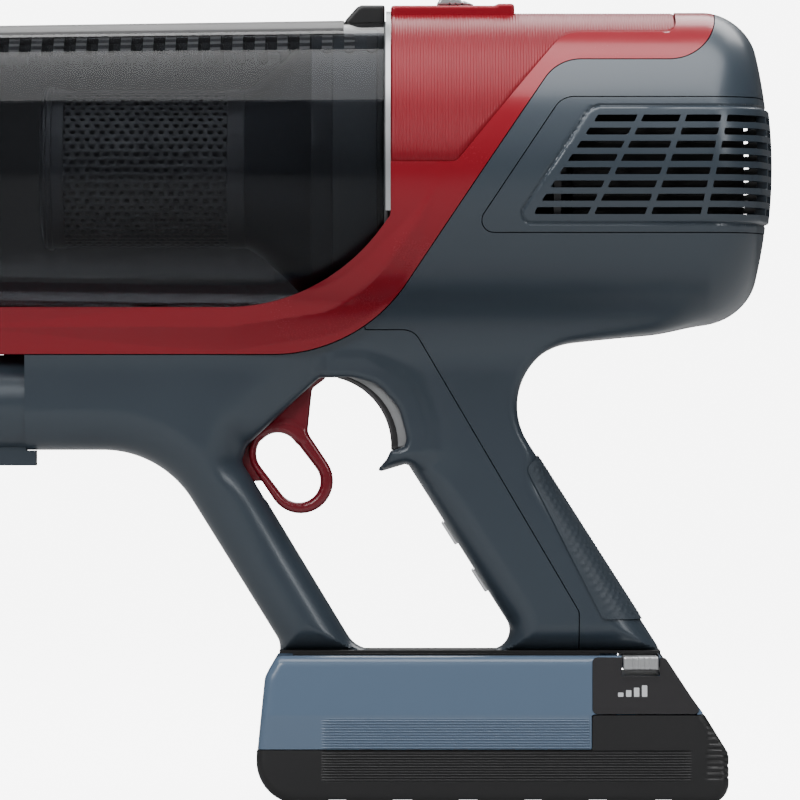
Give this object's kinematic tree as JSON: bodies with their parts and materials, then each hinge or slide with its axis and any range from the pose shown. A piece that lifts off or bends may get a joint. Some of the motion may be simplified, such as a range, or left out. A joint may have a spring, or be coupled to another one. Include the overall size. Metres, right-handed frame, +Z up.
{
  "type": "cordless hand-held vacuum cleaner body",
  "caption": "Cordless hand-held vacuum body with a clear cyclone bin in front of a ribbed motor barrel, an open looped handle with trigger and pull ring, and a battery base.",
  "frame": {"origin": "centre of the overall length and width, on the floor that the battery base stands on", "axes": "-X towards the wand socket and the bin door, +X towards the exhaust, +Z up, Y across"},
  "size_m": [0.3624, 0.1322, 0.3368],
  "materials": {
    "blue_plastic": "satin slate-blue metallic-look moulding",
    "battery_blue": "satin slate-blue moulding",
    "red_gloss": "glossy deep red metallic-look moulding",
    "red_ribbed": "satin deep red moulding with fine ribs",
    "red_lever": "deep red moulding",
    "black_plastic": "fine-grained black moulding",
    "grey_plastic": "grey moulding",
    "silver_plastic": "silver painted moulding",
    "panel_gloss": "glossy dark grey panel",
    "clear_bin": "clear smoke-tinted plastic",
    "pad_rubber": "textured soft grip",
    "seal_rubber": "soft seal",
    "steel": "plain steel",
    "chrome_trim": "bright trim",
    "aluminium": "machined aluminium",
    "brass": "plated contacts",
    "filter_media": "pleated filter medium",
    "cell_wrap": "shrink-wrapped cells",
    "board": "circuit board"
  },
  "bodies": {
    "main": {"frame_left": "blue_plastic", "frame_right": "blue_plastic", "rear_left": "blue_plastic", "rear_right": "blue_plastic", "grip_pad": "pad_rubber", "grip_contacts": "chrome_trim", "frame_screws": "steel", "red_band": "red_gloss", "top_cover": "red_ribbed", "rim_ring": "silver_plastic", "latch_platform": "red_gloss", "exhaust_grille": "blue_plastic", "exhaust_filter": "filter_media", "motor_housing": "black_plastic", "inlet_ring": "seal_rubber", "fan_shroud": "aluminium", "mount_front": "seal_rubber", "mount_rear": "seal_rubber", "motor_can": "aluminium", "bearings": "steel", "motor_board": "board", "wand_socket": "blue_plastic", "inlet_duct": "black_plastic", "inlet_seal": "seal_rubber", "dock_plate": "black_plastic", "dock_rails": "black_plastic", "terminal_block": "brass", "pivot_pins": "steel", "trigger_spring": "steel", "trigger_switch": "black_plastic"},
    "rotor": {"rotor_shaft": "steel", "rotor_magnet": "steel", "impeller": "aluminium"},
    "trigger": {"trigger": "silver_plastic"},
    "lever": {"release_lever": "red_lever"},
    "rod": {"release_rod": "black_plastic"},
    "latch": {"wand_latch": "black_plastic"},
    "slider": {"bin_slider": "silver_plastic"},
    "bin": {"bin_shell": "clear_bin", "bin_catch": "black_plastic", "bin_strip": "black_plastic", "shroud": "grey_plastic", "cyclone_cone": "grey_plastic", "bin_flange": "grey_plastic", "pre_filter": "filter_media", "bin_collar": "grey_plastic", "bin_pins": "steel"},
    "door": {"bin_door": "clear_bin", "door_seal": "seal_rubber"},
    "door_latch": {"door_latch": "grey_plastic"},
    "battery": {"battery_upper": "battery_blue", "battery_lower": "black_plastic", "side_left": "battery_blue", "side_right": "battery_blue", "panel_left": "panel_gloss", "panel_right": "panel_gloss", "cell_tray": "black_plastic", "cells": "cell_wrap", "battery_board": "board"},
    "battery_button": {"battery_button": "silver_plastic"}
  },
  "joints": [
    {"name": "rotor_spin", "type": "hinge", "parent": "main", "child": "rotor", "pos_m": [0.07, 0, 0.265], "axis": [1, 0, 0], "continuous": true},
    {"name": "trigger_pull", "type": "hinge", "parent": "main", "child": "trigger", "pos_m": [0.0036, 0, 0.1794], "axis": [0, -1, 0], "range_deg": [0, 6], "stiffness_Nm_per_rad": 1.2, "springref_deg": -5.73},
    {"name": "wand_release", "type": "hinge", "parent": "main", "child": "lever", "pos_m": [-0.008, 0, 0.183], "axis": [0, -1, 0], "range_deg": [0, 10], "stiffness_Nm_per_rad": 1.5, "springref_deg": -5.73},
    {"name": "release_rod_slide", "type": "slide", "parent": "main", "child": "rod", "axis": [1, 0, 0], "range_m": [0, 0.0069]},
    {"name": "wand_latch_slide", "type": "slide", "parent": "main", "child": "latch", "axis": [0, 0, -1], "range_m": [0, 0.00302]},
    {"name": "bin_lock_slide", "type": "slide", "parent": "main", "child": "slider", "axis": [1, 0, 0], "range_m": [0, 0.006], "stiffness_N_per_m": 600, "springref_m": -0.003},
    {"name": "bin_removal", "type": "slide", "parent": "main", "child": "bin", "axis": [-1, 0, 0], "range_m": [0, 0.21]},
    {"name": "bin_door_hinge", "type": "hinge", "parent": "bin", "child": "door", "pos_m": [-0.156, 0, 0.3278], "axis": [0, 1, 0], "range_deg": [0, 100]},
    {"name": "door_latch_rock", "type": "hinge", "parent": "bin", "child": "door_latch", "pos_m": [-0.155, 0, 0.2], "axis": [0, -1, 0], "range_deg": [0, 10], "stiffness_Nm_per_rad": 0.4, "springref_deg": -8.59},
    {"name": "battery_removal", "type": "slide", "parent": "main", "child": "battery", "axis": [1, 0, 0], "range_m": [0, 0.15]},
    {"name": "battery_button_press", "type": "slide", "parent": "battery", "child": "battery_button", "axis": [0, 0, -1], "range_m": [0, 0.002], "stiffness_N_per_m": 600, "springref_m": -0.003}
  ],
  "couplings": [
    {"joint": "release_rod_slide", "follows": "wand_release", "m_per_rad": 0.039488},
    {"joint": "wand_latch_slide", "follows": "wand_release", "m_per_rad": 0.017189}
  ]
}
